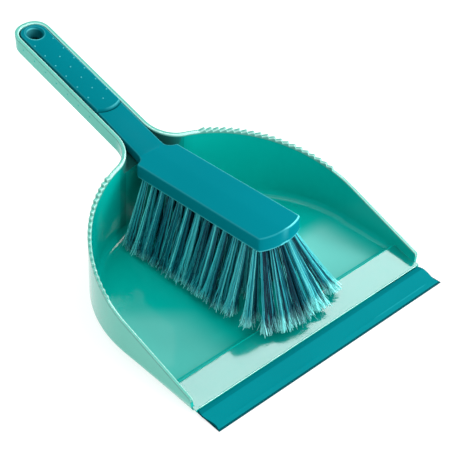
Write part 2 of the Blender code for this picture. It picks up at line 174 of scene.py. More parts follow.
# Small raised pips on both handles, and where they sit, in millimetres from the hanging hole.
PIP_RADIUS = 0.0007
PIP_SIDES = 12
PAN_PIPS = (-5.6, -20.1, -34.6, -48.9, -63.1, -77.1, -91.2)
GRIP_SIDE_PIPS = (-12.5, -26.0, -39.7, -53.5, -67.8, -81.6)
GRIP_MIDDLE_PIPS = (-33.4, -47.3, -61.2, -75.0, -88.9)

# Camera.
CAMERA_X = -0.54805
CAMERA_Y = -0.48239
CAMERA_Z = 0.69671
CAMERA_TILT = radians(51.29)
CAMERA_TURN = radians(-42.52)
CAMERA_LENS = 111.7


# ---------------------------------------------------------------- mesh helpers


def add_object(name, data):
    made = bpy.data.objects.new(name, data)
    bpy.context.scene.collection.objects.link(made)
    return made


def finish_bmesh(name, bm):
    bmesh.ops.remove_doubles(bm, verts=bm.verts, dist=2e-6)
    bmesh.ops.recalc_face_normals(bm, faces=bm.faces)
    mesh = bpy.data.meshes.new(name)
    bm.to_mesh(mesh)
    bm.free()
    return add_object(name, mesh)


def loft(name, rings, highlight_and_wear=None):
    """A closed skin through rings that have the same number of points.

    The last argument gives each point's share of the paler colour, a painted highlight.
    """
    bm = bmesh.new()
    edge = bm.verts.layers.float.new("edge")
    loops = [[bm.verts.new(point) for point in ring] for ring in rings]
    for loop, shares in zip(loops, highlight_and_wear or []):
        for vertex, share in zip(loop, shares):
            vertex[edge] = share
    count = len(loops[0])
    for low, high in zip(loops, loops[1:]):
        for i in range(count):
            j = (i + 1) % count
            bm.faces.new((low[i], low[j], high[j], high[i]))
    bm.faces.new(loops[0][::-1])
    bm.faces.new(loops[-1])
    return finish_bmesh(name, bm)


def prism_across(name, profile, half_width):
    """A side profile of (y, z) points, extended across the pan."""
    left = [(-half_width, y, z) for y, z in profile]
    right = [(half_width, y, z) for y, z in profile]
    return loft(name, [left, right])


def circle(y, z, radius, sides):
    turns = [2 * pi * i / sides for i in range(sides)]
    return [(radius * cos(turn), y + radius * sin(turn), z) for turn in turns]


def hole_cutter(name, radius, sides):
    """An upright pin through the hanging end of the handles."""
    return loft(name, [circle(HANG_Y, z, radius, sides) for z in (0.05, 0.15)])


def apply_modifiers(piece):
    bpy.context.view_layer.update()
    evaluated = piece.evaluated_get(bpy.context.evaluated_depsgraph_get())
    mesh = bpy.data.meshes.new_from_object(evaluated)
    piece.modifiers.clear()
    piece.data = mesh


def boolean(target, tool, operation):
    """Apply an exact Boolean and throw the tool away."""
    modifier = target.modifiers.new("cut", "BOOLEAN")
    modifier.operation = operation
    modifier.solver = "EXACT"
    modifier.object = tool
    apply_modifiers(target)
    bpy.data.objects.remove(tool)


def join(target, *others):
    """Add the meshes of others to target and remove them."""
    bm = bmesh.new()
    bm.from_mesh(target.data)
    for other in others:
        bm.from_mesh(other.data)
        bpy.data.objects.remove(other)
    bm.to_mesh(target.data)
    bm.free()


def weigh_normals(piece):
    """Let large flat faces keep flat shading where they run into small curved ones."""
    modifier = piece.modifiers.new("normals", "WEIGHTED_NORMAL")
    modifier.mode = "FACE_AREA"
    modifier.keep_sharp = True
    apply_modifiers(piece)


def settle(piece, body, nodes, sharp, material):
    """Shade a piece, move it onto the frame and tie it to its body."""
    piece.data.shade_smooth()
    piece.data.set_sharp_from_angle(angle=radians(sharp))
    weigh_normals(piece)
    piece.data.transform(Matrix.Translation((0.0, LIP_EDGE_Y, 0.0)))
    piece.data.update()
    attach(piece, body)
    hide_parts(*nodes)
    set_material(piece, material)


def arc(centre_x, centre_y, radius, start, end, steps):
    return [
        (
            centre_x + radius * cos(start + (end - start) * i / steps),
            centre_y + radius * sin(start + (end - start) * i / steps),
        )
        for i in range(steps + 1)
    ]


def inset_outline(points, distance):
    """Move each point of a counter-clockwise outline inwards, square to its neighbours."""
    moved = []
    count = len(points)
    for i, (x, y) in enumerate(points):
        here = Vector((x, y))
        first = (here - Vector(points[i - 1])).normalized()
        second = (Vector(points[(i + 1) % count]) - here).normalized()
        normal = Vector((-first.y - second.y, first.x + second.x)).normalized()
        share = max(0.5, normal.dot(Vector((-first.y, first.x))))
        moved.append((x + normal.x * distance / share, y + normal.y * distance / share))
    return moved


def smooth_step(low, high, value):
    t = np.clip((value - low) / (high - low), 0.0, 1.0)
    return t * t * (3 - 2 * t)


def hump(value, centre, width):
    """A smooth bump of height 1 around centre."""
    return np.exp(-(((value - centre) / width) ** 2))


# ---------------------------------------------------------------- pan shape


def rim_bend_z():
    return RIM_FRONT_Z + RIM_SLOPE * (RIM_BEND_Y - SIDE_FRONT_Y)


def handle_line_z(y):
    """Height of the plane through the channel's rim."""
    return rim_bend_z() + HANDLE_SLOPE * (y - RIM_BEND_Y)


def rim_z(y):
    """Height of the rim line: two slopes with a smooth bend between them."""
    before = RIM_BEND_Y - RIM_BEND_REACH
    after = RIM_BEND_Y + RIM_BEND_REACH
    if y <= before:
        return RIM_FRONT_Z + RIM_SLOPE * (y - SIDE_FRONT_Y)
    if y >= after:
        return handle_line_z(y)
    run = y - before
    bend = (HANDLE_SLOPE - RIM_SLOPE) / (4 * RIM_BEND_REACH)
    return RIM_FRONT_Z + RIM_SLOPE * (y - SIDE_FRONT_Y) + bend * run * run


def back_point(turn, z, side_inset, back_inset):
    """A point of the round back's plan at height z; turn goes from the right side to the left."""
    half_width = HALF_WIDTH + WALL_DRAFT * z
    depth = half_width - BACK_FLATTENING
    x = (half_width - side_inset) * cos(turn)
    y = BACK_CENTRE_Y - BACK_LEAN * z + (depth - back_inset) * sin(turn)
    return x, y


def bowl_ring(z, side_inset, back_inset, foot_inset, front_y):
    """The bowl's plan at height z; the foot's inset fades towards the front."""
    back = [
        back_point(pi * i / BACK_SEGMENTS, z, side_inset + foot_inset, back_inset + foot_inset)
        for i in range(BACK_SEGMENTS + 1)
    ]
    side_x, side_y = back[0]
    run = (front_y - SIDE_FRONT_Y) / (side_y - SIDE_FRONT_Y)
    share = FRONT_FOOT_SHARE + (1 - FRONT_FOOT_SHARE) * run
    front_x = side_x + foot_inset * (1 - share)
    ring = [(-front_x, front_y), (front_x, front_y), *back]
    return [(x, y, z) for x, y in ring]


def bowl_solid(name, side_inset, back_inset, bottom_z, rounding, top_z, front_y):
    """The bowl's plan lofted upwards, with a rounded foot."""
    steps = 12
    rings = []
    for i in range(steps + 1):
        turn = pi / 2 * i / steps
        z = bottom_z + rounding * (1 - cos(turn))
        foot_inset = rounding * (1 - sin(turn))
        rings.append(bowl_ring(z, side_inset, back_inset, foot_inset, front_y))
    rings.append(bowl_ring(top_z, side_inset, back_inset, 0.0, front_y))
    return loft(name, rings)


def rim_turn_point(turn):
    """Plan of the outer wall at the rim line."""
    z = rim_bend_z()
    for _ in range(12):
        x, y = back_point(turn, z, 0.0, 0.0)
        z = rim_z(y)
    return x, y


def fillet_centre():
    """Right-hand fillet, tangent to the round back and the channel: centre, first angle, turn."""
    turns = np.linspace(radians(60), radians(89), 1200)
    curve = np.array([rim_turn_point(turn) for turn in turns])
    centre_x = CHANNEL_HALF_WIDTH + CHANNEL_FILLET
    low = BACK_CENTRE_Y
    high = BACK_CENTRE_Y + 0.3
    for _ in range(40):
        centre_y = (low + high) / 2
        gaps = np.hypot(curve[:, 0] - centre_x, curve[:, 1] - centre_y)
        if gaps.min() > CHANNEL_FILLET:
            high = centre_y
        else:
            low = centre_y
    nearest = int(gaps.argmin())
    x, y = curve[nearest]
    return centre_x, centre_y, atan2(y - centre_y, x - centre_x), float(turns[nearest])


FILLET = fillet_centre()


def blunt_tip(half_width, turn):
    """A point of a handle's blunt end, from the right side at turn 0 to the left one at pi."""
    power = 2 / TIP_BLUNTNESS
    reach = TIP_REACH - (CHANNEL_HALF_WIDTH - half_width)
    side = 1 if cos(turn) >= 0 else -1
    x = side * half_width * abs(cos(turn)) ** power
    return x, HANG_Y + reach * abs(sin(turn)) ** power


def handle_outline(wall):
    """Plan of the channel, set in by a wall, with its sides flaring out into the bowl."""
    centre_x, centre_y, meet, _ = FILLET
    right = arc(centre_x, centre_y, CHANNEL_FILLET + wall, meet, -pi, 28)
    tip = [blunt_tip(CHANNEL_HALF_WIDTH - wall, pi * i / 72) for i in range(73)]
    left = [(-x, y) for x, y in reversed(right)]
    inner_y = BACK_CENTRE_Y + 0.065
    start_x = right[0][0]
    return [(-start_x, inner_y), (start_x, inner_y), *right, *tip, *left]


def channel_solid(name, wall, floor_drop, rounding, top_rise):
    """The channel's plan lofted upwards from a floor that slopes with the handle."""
    steps = 8
    rings = []
    outline = handle_outline(wall)
    for i in range(steps + 1):
        turn = pi / 2 * i / steps
        rise = rounding * (1 - cos(turn)) - floor_drop
        ring = inset_outline(outline, rounding * (1 - sin(turn)))
        rings.append([(x, y, handle_line_z(y) + rise) for x, y in ring])
    rings.append([(x, y, handle_line_z(y) + top_rise) for x, y in outline])
    return loft(name, rings)


def rim_cutter():
    """Everything above a line a little under the rim, where the rounded rim takes over."""
    count = 60
    coarse = [0.400 * i / count for i in range(count + 1)]
    round_the_bend = np.linspace(0.190, 0.210, 21)
    line = sorted({(y, rim_z(y) - RIM_CAP * 0.6) for y in [*coarse, *round_the_bend]})
    return prism_across("rim_cutter", line + [(0.400, 0.200), (0.0, 0.200)], 0.130)


def rim_path_points():
    """Stations round the rim as functions (inset share, height) -> (x, y), with a tooth height.

    Each station is (point, tooth), where point(share, z) runs from the outer wall face at share 0
    to the inner one at share 1.
    """
    centre_x, centre_y, meet, last_turn = FILLET
    stations = []

    def on_side(y):
        def point(share, z):
            return back_point(0.0, z, SIDE_WALL * share, 0.0)[0], y

        return point

    def on_back(turn):
        def point(share, z):
            return back_point(turn, z, SIDE_WALL * share, BACK_WALL * share)

        return point

    def on_fillet(turn):
        def point(share, z):
            radius = CHANNEL_FILLET + CHANNEL_WALL * share
            return centre_x + radius * cos(turn), centre_y + radius * sin(turn)

        return point

    def on_channel(y):
        def point(share, z):
            return CHANNEL_HALF_WIDTH - CHANNEL_WALL * share, y

        return point

    def on_tip(turn):
        def point(share, z):
            return blunt_tip(CHANNEL_HALF_WIDTH - CHANNEL_WALL * share, turn)

        return point

    side_ys = np.linspace(SIDE_FRONT_Y + 0.0012, BACK_CENTRE_Y - 0.006, 30)
    stations += [(on_side(y), 0.0) for y in side_ys]

    tooth = (
        (0.00, 0.00),
        (0.03, 0.62),
        (0.07, 0.90),
        (0.13, 1.00),
        (0.22, 0.97),
        (0.34, 0.82),
        (0.60, 0.46),
        (0.85, 0.12),
        (0.95, 0.02),
    )
    step = (TEETH_TO - TEETH_FROM) / TEETH_PER_SIDE
    before_teeth = np.linspace(0.0, TEETH_FROM, 8, endpoint=False)
    stations += [(on_back(turn), 0.0) for turn in before_teeth]
    for i in range(TEETH_PER_SIDE):
        for share, height in tooth:
            stations.append((on_back(TEETH_FROM + step * (i + share)), TOOTH_HEIGHT * height))
    after_teeth = np.linspace(TEETH_TO, last_turn, 10, endpoint=False)
    stations += [(on_back(turn), 0.0) for turn in after_teeth]
    stations += [(on_fillet(turn), 0.0) for turn in np.linspace(meet, -pi, 30)]
    channel_ys = np.linspace(centre_y + 0.002, HANG_Y - 0.001, 40)
    stations += [(on_channel(y), 0.0) for y in channel_ys]
    stations += [(on_tip(turn), 0.0) for turn in np.linspace(0.0, pi / 2, 37)]
    return stations


def rim_section(point, tooth):
    """One cross section of the rounded rim, from the outer wall over the top to the inner wall."""
    _, y = point(0.0, 0.05)
    top = rim_z(y)
    for _ in range(12):
        _, y = point(0.0, top)
        top = rim_z(y)
    # Each entry: share across the rim, drop below its top, and share of painted highlight, strongest
    # on the inner edge.
    across = (
        (0.12, RIM_CAP, 0.0),
        (-0.006, RIM_CAP, 0.0),
        (-0.006, 0.00060, 0.0),
        (0.02, 0.00034, 0.1),
        (0.08, 0.00012, 0.5),
        (0.17, 0.00002, 0.2),
        (0.35, 0.00000, 0.0),
        (0.65, 0.00000, 0.2),
        (0.80, 0.00002, 0.8),
        (0.91, 0.00012, 1.0),
        (0.98, 0.00034, 0.9),
        (1.006, 0.00060, 0.4),
        (1.006, RIM_CAP, 0.0),
        (0.88, RIM_CAP, 0.0),
    )
    section = []
    highlight_and_wear = []
    for share, drop, edge in across:
        own_x, own_y = point(share, top - drop)
        lift = tooth if drop < RIM_CAP else 0.0
        section.append((own_x, own_y, rim_z(own_y) - drop + lift))
        # Tooth tops take a little more painted highlight.
        highlight_and_wear.append(min(1.0, edge + (0.2 * lift / TOOTH_HEIGHT if drop < 0.0005 else 0.0)))
    return section, highlight_and_wear


def make_rim():
    """The rounded rim with its comb, swept from the mouth round the back and the channel."""
    right = [rim_section(point, tooth) for point, tooth in rim_path_points()]
    left = [([(-x, y, z) for x, y, z in section], highlight_and_wear) for section, highlight_and_wear in right[-2::-1]]
    stations = right + left
    ends = []
    for section, highlight_and_wear in (stations[0], stations[-1]):
        stops = []
        for i in range(1, 9):
            turn = pi / 2 * i / 8
            shift = 0.0014 * sin(turn)
            fall = 0.0022 * (1 - cos(turn))
            stops.append(([(x, y - shift, max(z - fall, 0.009)) for x, y, z in section], highlight_and_wear))
        ends.append(stops)
    stations = ends[0][::-1] + stations + ends[1]
    return loft("rim", [section for section, _ in stations], [highlight_and_wear for _, highlight_and_wear in stations])


def ramp_top():
    """The ramp's upper side: a slightly crowned slope, a tight ridge and a steep back."""
    front = []
    for i in range(13):
        share = i / 12
        y = RAMP_FRONT_Y + (RAMP_RIDGE_Y - RAMP_FRONT_Y) * share
        front.append((y, RAMP_FRONT_Z + RAMP_RISE * (1.10 * share - 0.10 * share * share)))
    return [*front, *RAMP_BACK]


def front_edge_profile():
    return [
        (TONGUE_FRONT_Y, TONGUE_LOW_Z),
        (RAMP_FRONT_Y, TONGUE_LOW_Z),
        (RAMP_FRONT_Y, 0.0),
        (0.0320, 0.0),
        (0.0320, 0.0030),
        (RAMP_FRONT_Y, 0.0030),
        (RAMP_FRONT_Y, TONGUE_HIGH_Z),
        (TONGUE_FRONT_Y, TONGUE_HIGH_Z),
    ]


def front_bead():
    """The thin rounded edge that stands along the ramp's front, painted all over as a highlight."""
    sides = 10
    section = arc(0.02325, 0.00305, 0.00042, 0.0, 2 * pi, sides)[:sides]
    end = FRONT_HALF_WIDTH - 0.0006
    rings = [[(float(x), y, z) for y, z in section] for x in np.linspace(-end, end, 40)]
    return loft("front_bead", rings, [[1.0] * sides] * len(rings))


def pips(spots, height, highlight_and_wear):
    """Shallow round pips at spots, each a (place, direction) pair. The last argument is their share
    of painted highlight.
    """
    profile = ((-0.3, 1.0), (0.0, 1.0), (0.55, 0.83), (0.88, 0.48), (1.0, 0.12))
    rings = [circle(0.0, height * rise, PIP_RADIUS * share, PIP_SIDES) for rise, share in profile]
    made = []
    for place, direction in spots:
        pip = loft("grip_pips", rings, [[highlight_and_wear] * PIP_SIDES] * len(rings))
        turn = Vector(direction).to_track_quat("Z", "Y").to_matrix().to_4x4()
        pip.data.transform(Matrix.Translation(place) @ turn)
        made.append(pip)
    join(made[0], *made[1:])
    return made[0]


def mark_faces(piece, name, values):
    piece.data.attributes.new(name, "FLOAT", "FACE").data.foreach_set("value", values)


def painted_dim(x, y, z):
    """How dark an inner face behind the brush is painted, to stand for the shade it lies in."""
    far_in = smooth_step(0.186, 0.206, y) * (1 - smooth_step(0.028, 0.042, abs(x)))
    in_channel = smooth_step(0.045, 0.060, z)
    return float(far_in) * (THROAT_DIM + (CHANNEL_DIM - THROAT_DIM) * float(in_channel))


def mark_pan(piece):
    """Mark the faces that look away from the bowl, painted paler as a painted sheen, and the dim
    ones.

    The ramp, the throat and the channel get painted shade, darker than the plastic is. "swept"
    marks the flat floor, up to its cove, which takes the painted glare.
    """
    outside = []
    dim = []
    swept = []
    for face in piece.data.polygons:
        x, y, z = face.center
        middle_y = min(max(y, 0.0), BACK_CENTRE_Y) if y < 0.206 else min(y, HANG_Y)
        away = Vector((x, y - middle_y, 0.0)).normalized()
        facing = face.normal.dot(away)
        behind = y > 0.15 and face.normal.y > 0.2
        outer = facing > 0.15 or behind or face.normal.z < -0.3
        # Faces turned away from the bowl take the paler outside colour, a painted sheen.
        outside.append(1.0 if outer else 0.0)
        # The ramp and the faces behind the brush take painted shade.
        on_ramp = RAMP_FRONT_Y < y < RAMP_RIDGE_Y and face.normal.z > 0.9
        behind_brush = 0.0 if outer else painted_dim(x, y, z)
        dim.append(RAMP_DIM if on_ramp else behind_brush)
        on_floor = face.normal.z > 0.4 and z < 0.006 and y > RAMP_BACK[-1][0]
        swept.append(1.0 if on_floor and not outer else 0.0)
    mark_faces(piece, "outside", outside)
    mark_faces(piece, "dim", dim)
    mark_faces(piece, "swept", swept)


def make_pan():
    pan = bowl_solid("dustpan_shell", 0.0, 0.0, 0.0, FOOT_ROUND, 0.100, SIDE_FRONT_Y)
    channel = channel_solid("channel_outside", 0.0, CHANNEL_DEPTH, CHANNEL_ROUND, 0.020)
    boolean(pan, channel, "UNION")
    boolean(pan, rim_cutter(), "DIFFERENCE")
    hollow = bowl_solid("inside", SIDE_WALL, BACK_WALL, FLOOR_THICKNESS, COVE, 0.120, 0.0)
    boolean(pan, hollow, "DIFFERENCE")
    trough_drop = CHANNEL_DEPTH - CHANNEL_FLOOR
    trough = channel_solid("trough", CHANNEL_WALL, trough_drop, CHANNEL_ROUND, 0.040)
    boolean(pan, trough, "DIFFERENCE")
    top = ramp_top()
    ramp_solid = [*top, (top[-1][0], RAMP_BOTTOM_Z), (RAMP_FRONT_Y, RAMP_BOTTOM_Z)]
    ramp = prism_across("ramp", ramp_solid, HALF_WIDTH + 0.005)
    inside_walls = bowl_solid("walls", 0.0007, 0.0007, 0.00001, FOOT_ROUND, 0.060, 0.0218)
    boolean(ramp, inside_walls, "INTERSECT")
    boolean(pan, ramp, "UNION")
    boolean(pan, prism_across("front_edge", front_edge_profile(), FRONT_HALF_WIDTH), "UNION")
    roof = [(y, z - RAMP_SKIN) for y, z in top if z - RAMP_SKIN > 0.0023]
    under = [(roof[0][0], -0.001), *roof[:-1], (roof[-1][0] - 0.001, -0.001)]
    boolean(pan, prism_across("under_ramp", under, HALF_WIDTH - 0.0120), "DIFFERENCE")
    boolean(pan, hole_cutter("hang", PAN_HANG_RADIUS, 64), "DIFFERENCE")

    spots = []
    for side in (-1, 1):
        for along in PAN_PIPS:
            y = HANG_Y + along / 1000 * HANDLE_COS
            z = handle_line_z(y) - 0.0052
            spots.append(((side * CHANNEL_HALF_WIDTH, y, z), (side, 0.0, 0.0)))
    mark_pan(pan)
    rim = make_rim()
    # The rim takes the paler outside colour, a painted sheen, and painted shade as dark as RIM_DIM.
    mark_faces(rim, "outside", [1.0] * len(rim.data.polygons))
    mark_faces(rim, "dim", [RIM_DIM] * len(rim.data.polygons))
    join(pan, rim, front_bead(), pips(spots, 0.00030, 0.0))
    return pan


# ---------------------------------------------------------------- lip shape


def lip_end_x(y):
    """Half-width of the lip at y: its ends curve in a shallow S."""
    share = min(1.0, max(0.0, y / LIP_BACK_Y))
    return LIP_HALF_WIDTH + 0.0004 - 0.0011 * sin(2 * pi * share) - 0.0008 * share


def lip_plain_z(y):
    """Height of the lip's sloping upper side without its rib."""
    return LIP_EDGE_Z + 0.0001 + LIP_SLOPE * y


def lip_section():
    """The lip's closed side profile as (y, z): thin rounded edge, long rib, thick back."""
    top = [(0.00035, 0.00072), (0.0009, LIP_EDGE_Z + 0.0001), (0.0014, LIP_EDGE_Z + 0.00016)]
    for y, lift in (
        (0.0030, 0.0),
        (0.0042, 0.0),
        (0.0046, 0.00016),
        (0.0051, 0.00022),
        (0.0056, 0.00016),
        (0.0060, 0.0),
        (0.0090, 0.0),
        (0.0130, 0.0),
        (0.0160, 0.0),
        (0.0172, 0.00006),
    ):
        top.append((y, lip_plain_z(y) + lift))
    top += [(0.0180, 0.00300), (0.0200, 0.00298), (0.0218, 0.00292), (LIP_BACK_Y, 0.00270)]
    bottom = [(LIP_BACK_Y, 0.0), (0.0100, 0.0), (0.0006, 0.0), (0.0, 0.00015), (0.0, 0.0005)]
    return top + bottom


def make_lip():
    profile = lip_section()
    shares = [-1.0, -0.9985, -0.995, *np.linspace(-0.97, 0.97, 41), 0.995, 0.9985, 1.0]
    rings = []
    highlight_and_wear = []
    for share in shares:
        squeeze = 1.0
        edge = 1.0 - abs(share)
        if edge < 0.0015:
            squeeze = 0.55
        elif edge < 0.004:
            squeeze = 0.85
        rib_on = smooth_step(0.10, 0.14, abs(share)) * (1 - smooth_step(0.90, 0.92, abs(share)))
        ring = []
        for y, z in profile:
            base = z
            if 0.0043 < y < 0.0059 and z > 0.0005:
                base = lip_plain_z(y) + (z - lip_plain_z(y)) * rib_on
            middle = 0.0004 + 0.04 * y
            ring.append((share * lip_end_x(y), y, middle + (base - middle) * squeeze))
        rings.append(ring)
        # A painted highlight along the right-hand part of the rib.
        rib_highlight = 0.30 * float(rib_on * smooth_step(0.40, 0.46, share))
        highlight_and_wear.append([rib_highlight if 0.0050 < y < 0.0058 and z > 0.0005 else 0.0 for y, z in profile])
    lip = loft("lip_rubber_blade", rings, highlight_and_wear)
    # The lip's ends and thin front edge take its darker outside colour, a painted shade, and its
    # thick back a share of it.
    marks = []
    for face in lip.data.polygons:
        on_end = abs(face.normal.x) > 0.5 or face.normal.y < -0.5
        at_edge = on_end or face.center.y < 0.0014
        marks.append(1.0 if at_edge else 0.35 if face.center.y > 0.0176 else 0.0)
    mark_faces(lip, "outside", marks)
    return lip


# ---------------------------------------------------------------- brush body shape


def block_top_z(y):
    return BLOCK_BACK_Z + BLOCK_TILT * (BLOCK_BACK_Y - y)


def side_outline():
    """Right-hand plan of the brush from nose to tip, as (half width, y) with y rising."""
    sag = BLOCK_SIDE_FRONT_Y - BLOCK_NOSE_Y
    radius = (BLOCK_HALF_WIDTH**2 + sag**2) / (2 * sag)
    points = []
    last_rise = radius - sqrt(radius * radius - (0.88 * BLOCK_HALF_WIDTH) ** 2)
    for i in range(19):
        rise = last_rise * i / 18
        points.append((sqrt(2 * radius * rise - rise * rise), BLOCK_NOSE_Y + rise))
    corner_radius = 0.0024
    corner_y = BLOCK_SIDE_FRONT_Y + 0.0016
    lean = atan2(points[-1][1] - points[-2][1], points[-1][0] - points[-2][0])
    corner_x = BLOCK_HALF_WIDTH - corner_radius
    points += arc(corner_x, corner_y, corner_radius, lean - pi / 2, 0.0, 8)
    for y in np.linspace(0.066, BLOCK_BACK_Y - 0.0030, 44):
        points.append((BLOCK_HALF_WIDTH, float(y)))
    small = 0.0011
    back_corner = arc(BLOCK_HALF_WIDTH - small, BLOCK_BACK_Y - small, small, 0.0, pi / 2, 6)
    points += [(x, y + 0.0002 * i / 6) for i, (x, y) in enumerate(back_corner)]
    neck_y = BLOCK_BACK_Y + 0.0003 + NECK_FILLET
    for i in range(1, 15):
        turn = -pi / 2 - pi / 2 * (0.12 + 0.88 * i / 14)
        points.append(
            (BLOCK_HALF_WIDTH + 0.0002 + NECK_FILLET * cos(turn), neck_y + NECK_FILLET * sin(turn))
        )
    for y in np.linspace(neck_y + 0.002, 0.244, 22):
        share = (y - neck_y) / (0.244 - neck_y)
        points.append((0.0120 + (BRUSH_HALF_WIDTH - 0.0120) * float(share), float(y)))
    for start, end, count in ((0.2445, 0.2580, 60), (0.2610, 0.3300, 28), (0.3306, HANG_Y, 44)):
        points += [(BRUSH_HALF_WIDTH, float(y)) for y in np.linspace(start, end, count)]
    for i in range(1, 41):
        points.append(blunt_tip(BRUSH_HALF_WIDTH, pi / 2 * i / 40))
    return points


def grip_step_y(x):
    """The curved step where the grip starts."""
    return HANG_Y - (0.0995 - 0.0042 * (x / BRUSH_HALF_WIDTH) ** 2) * HANDLE_COS


def brush_top_z(x, y):
    """Height of the brush's upper surface before its edges are rounded."""
    half = np.where(y < BLOCK_BACK_Y + NECK_FILLET, BLOCK_HALF_WIDTH, BRUSH_HALF_WIDTH)
    block = block_top_z(y) + 0.0009 * (1 - np.sqrt((x / half) ** 2 + 0.004))
    along = (y - HANG_Y) / HANDLE_COS
    stops = (-0.150, -0.100, -0.090, -0.073, -0.045, -0.031, -0.018, -0.009, 0.0, 0.006, 0.012)
    crowns = (0.0014, 0.0034, 0.0032, 0.0028, 0.0024, 0.0020, 0.0015, 0.0011, 0.0007, 0.0004, 0.0001)
    grip = np.interp(along, stops, crowns)
    neck = 0.0008 + 0.0010 * smooth_step(0.205, 0.250, y)
    past_step = y - grip_step_y(x)
    on_grip = smooth_step(-0.0003, 0.0003, past_step)
    groove = 0.0009 * hump(past_step, -0.0009, 0.0006)
    crown = neck + (grip - neck) * on_grip - groove
    flat_tip = 1 - smooth_step(-0.016, -0.004, along)
    side_fall = 0.0009 * (x / BRUSH_HALF_WIDTH) ** 2 * flat_tip
    handle = handle_line_z(y) + crown - side_fall
    on_handle = smooth_step(CREASE_Y - 0.0014, CREASE_Y + 0.0014, y)
    top = block + (handle - block) * on_handle
    from_hole = np.hypot(x, y - HANG_Y)
    chamfer = np.clip((HANG_RING - from_hole) / (HANG_RING - HANG_RADIUS), 0.0, 1.0)
    bead = 0.00035 * hump(from_hole - HANG_RING, 0.0003, 0.0004)
    return top - 0.0013 * chamfer + bead


def brush_bottom_z(y):
    block = block_top_z(y) - BLOCK_THICKNESS
    handle = handle_line_z(y) - BRUSH_DEPTH
    on_handle = smooth_step(BLOCK_BACK_Y + 0.001, BLOCK_BACK_Y + 0.010, y)
    return block + (handle - block) * on_handle


def top_edge_radius(y):
    """How round the upper edge is: more on the block than on the handle."""
    on_handle = smooth_step(BLOCK_BACK_Y, BLOCK_BACK_Y + 0.008, y)
    return BLOCK_EDGE_ROUND + (HANDLE_EDGE_ROUND - BLOCK_EDGE_ROUND) * on_handle


def edge_fall(radius, inside):
    """How far a rounded edge has dropped at a distance inside the outline."""
    gap = np.clip(radius - inside, 0.0, None)
    return radius - np.sqrt(np.maximum(radius**2 - gap**2, 0.0))


def border(sheet):
    """The outer loop of a grid of vertices, up its last column and back down its first."""
    right = [row[-1] for row in sheet]
    left = [row[0] for row in sheet[-2::-1]]
    return right + sheet[-1][-2::-1] + left + sheet[0][1:-1]


def distance_to_outline(x, y, outline):
    """Distance from points with x >= 0 to the right-hand outline."""
    ends = np.array(outline)
    start = ends[:-1]
    run = ends[1:] - start
    length2 = (run**2).sum(1)
    nearest = np.full(x.shape, 1.0)
    for (sx, sy), (rx, ry), size in zip(start, run, length2):
        t = np.clip(((x - sx) * rx + (y - sy) * ry) / size, 0.0, 1.0)
        nearest = np.minimum(nearest, np.hypot(x - sx - rx * t, y - sy - ry * t))
    return nearest


def flange_loops(bm, low):
    """Loops for the thin flange that runs round the bottom edge of the block."""
    loops = []
    count = len(low)
    for height, proud in ((0.0017, 0.0), (0.0014, 0.00018), (0.0011, 0.0004), (0.0002, 0.0004)):
        loop = []
        for i, vertex in enumerate(low):
            along = low[(i + 1) % count].co - low[i - 1].co
            outwards = Vector((along.y, -along.x, 0.0)).normalized()
            fade = 1.0 - float(smooth_step(BLOCK_BACK_Y - 0.004, BLOCK_BACK_Y, vertex.co.y))
            place = vertex.co + outwards * proud * fade
            place.z += height
            loop.append(bm.verts.new(place))
        loops.append(loop)
    return loops


def make_brush_body():
    """Top and bottom surfaces over one plan, joined by a skirt, with rounded edges."""
    outline = side_outline()[1:-1]
    full = [(0.0, BLOCK_NOSE_Y), *outline, blunt_tip(BRUSH_HALF_WIDTH, pi / 2)]
    edge = 1 - np.array([0.0, 0.004, 0.011, 0.021, 0.034, 0.050, 0.070, 0.100, 0.140])
    middle = np.linspace(0.82, 0.0, 26)
    half = np.concatenate([edge, middle])
    shares = np.concatenate([-half, half[::-1][1:]])
    widths = np.array([w for w, _ in outline])[:, None]
    ys = np.array([y for _, y in outline])[:, None]
    x = widths * shares[None, :]
    y = np.broadcast_to(ys, x.shape)
    inside = distance_to_outline(np.abs(x), y, full)
    inside[:, 0] = 0.0
    inside[:, -1] = 0.0

    top = brush_top_z(x, y) - edge_fall(top_edge_radius(y), inside)
    bottom = brush_bottom_z(y) + edge_fall(BOTTOM_EDGE_ROUND, inside)

    rows, columns = x.shape
    bm = bmesh.new()

    def sheet(heights):
        return [
            [bm.verts.new((x[r, c], y[r, c], heights[r, c])) for c in range(columns)]
            for r in range(rows)
        ]

    upper = sheet(top)
    lower = sheet(bottom)
    for r in range(rows - 1):
        for c in range(columns - 1):
            bm.faces.new((upper[r][c], upper[r][c + 1], upper[r + 1][c + 1], upper[r + 1][c]))
            bm.faces.new((lower[r][c], lower[r + 1][c], lower[r + 1][c + 1], lower[r][c + 1]))
    loops = [border(upper), *flange_loops(bm, border(lower)), border(lower)]
    for high, low in zip(loops, loops[1:]):
        for i in range(len(high)):
            j = (i + 1) % len(high)
            bm.faces.new((high[i], low[i], low[j], high[j]))
    body = finish_bmesh("brush_moulding", bm)
    boolean(body, hole_cutter("bore", HANG_RADIUS, 96), "DIFFERENCE")

    spots = []
    for side in (-1, 1):
        spots += [pip_spot(side * 0.0090, along) for along in GRIP_SIDE_PIPS]
    spots += [pip_spot(0.0, along) for along in GRIP_MIDDLE_PIPS]
    mark_brush(body, full)
    # The grip's pips carry a painted highlight.
    join(body, pips(spots, 0.00040, 0.35))
    return body


